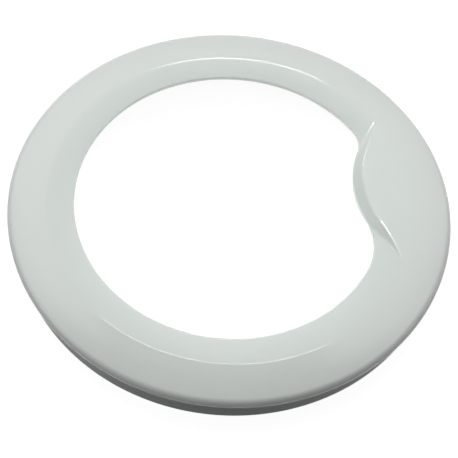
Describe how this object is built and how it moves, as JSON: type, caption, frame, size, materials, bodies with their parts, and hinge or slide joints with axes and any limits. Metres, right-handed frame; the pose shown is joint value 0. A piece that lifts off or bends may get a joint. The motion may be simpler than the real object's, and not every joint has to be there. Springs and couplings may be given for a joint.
{
  "type": "washing machine door frame",
  "caption": "Round moulded front frame of a porthole door, with a dished slope round its opening and a handle lobe that bulges into it.",
  "frame": {"origin": "on the axis of the opening, in the plane of the back rim that the frame lies on", "axes": "+Z along the axis of the opening, out of the front face; +X towards the handle lobe, with the hinge side at -X"},
  "size_m": [0.46, 0.46, 0.0515],
  "materials": {
    "door_frame": "gloss white injection-moulded ABS with a faint grey-green cast"
  },
  "bodies": {
    "root": {"door_frame": "door_frame"}
  },
  "joints": []
}
